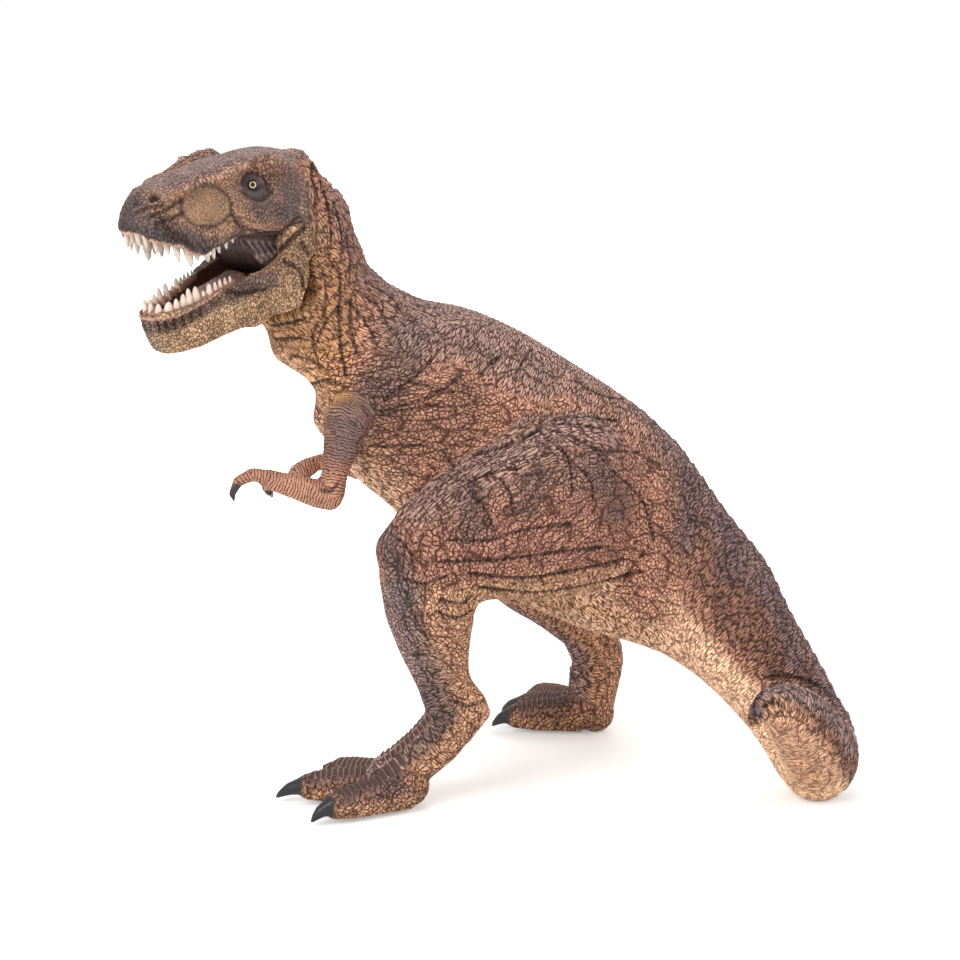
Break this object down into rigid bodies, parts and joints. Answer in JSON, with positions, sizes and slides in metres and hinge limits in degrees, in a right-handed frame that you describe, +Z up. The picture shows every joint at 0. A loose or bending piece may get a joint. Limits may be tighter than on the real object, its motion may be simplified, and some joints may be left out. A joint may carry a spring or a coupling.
{
  "type": "toy dinosaur figure",
  "caption": "Standing tyrannosaur play figure in painted vinyl, resting on its feet and tail, with a toothed lower jaw that opens and shuts on a hidden pin.",
  "frame": {"origin": "on the floor, under the middle of the figure's bounding box", "axes": "+Z up. The figure faces -X and its left side is -Y."},
  "size_m": [0.1842, 0.1128, 0.1653],
  "materials": {
    "hide": "matte painted vinyl, mauve-brown back and ochre belly with a dark wash in the wrinkles",
    "head_hide": "matte painted vinyl, charcoal-brown snout with a tan patch on each cheek",
    "jaw_hide": "matte painted vinyl, tan-olive with dark lips",
    "mouth_skin": "satin dark maroon vinyl",
    "tooth_ivory": "satin ivory paint",
    "tongue_skin": "satin mauve-pink vinyl",
    "pin_steel": "bright drawn steel"
  },
  "bodies": {
    "figure": {"torso": "hide", "tail": "hide", "left_leg": "hide", "right_leg": "hide", "left_arm": "hide", "right_arm": "hide", "head": "head_hide", "mouth_lining": "mouth_skin", "upper_teeth": "tooth_ivory", "jaw_hinge_pin": "pin_steel"},
    "jaw": {"lower_jaw": "jaw_hide", "lower_teeth": "tooth_ivory", "tongue": "tongue_skin"}
  },
  "joints": [
    {"name": "jaw_hinge", "type": "hinge", "parent": "figure", "child": "jaw", "pos_m": [-0.0555, -0.00192, 0.1423], "axis": [0.515, -0.8572, 0], "range_deg": [-14, 5]}
  ]
}
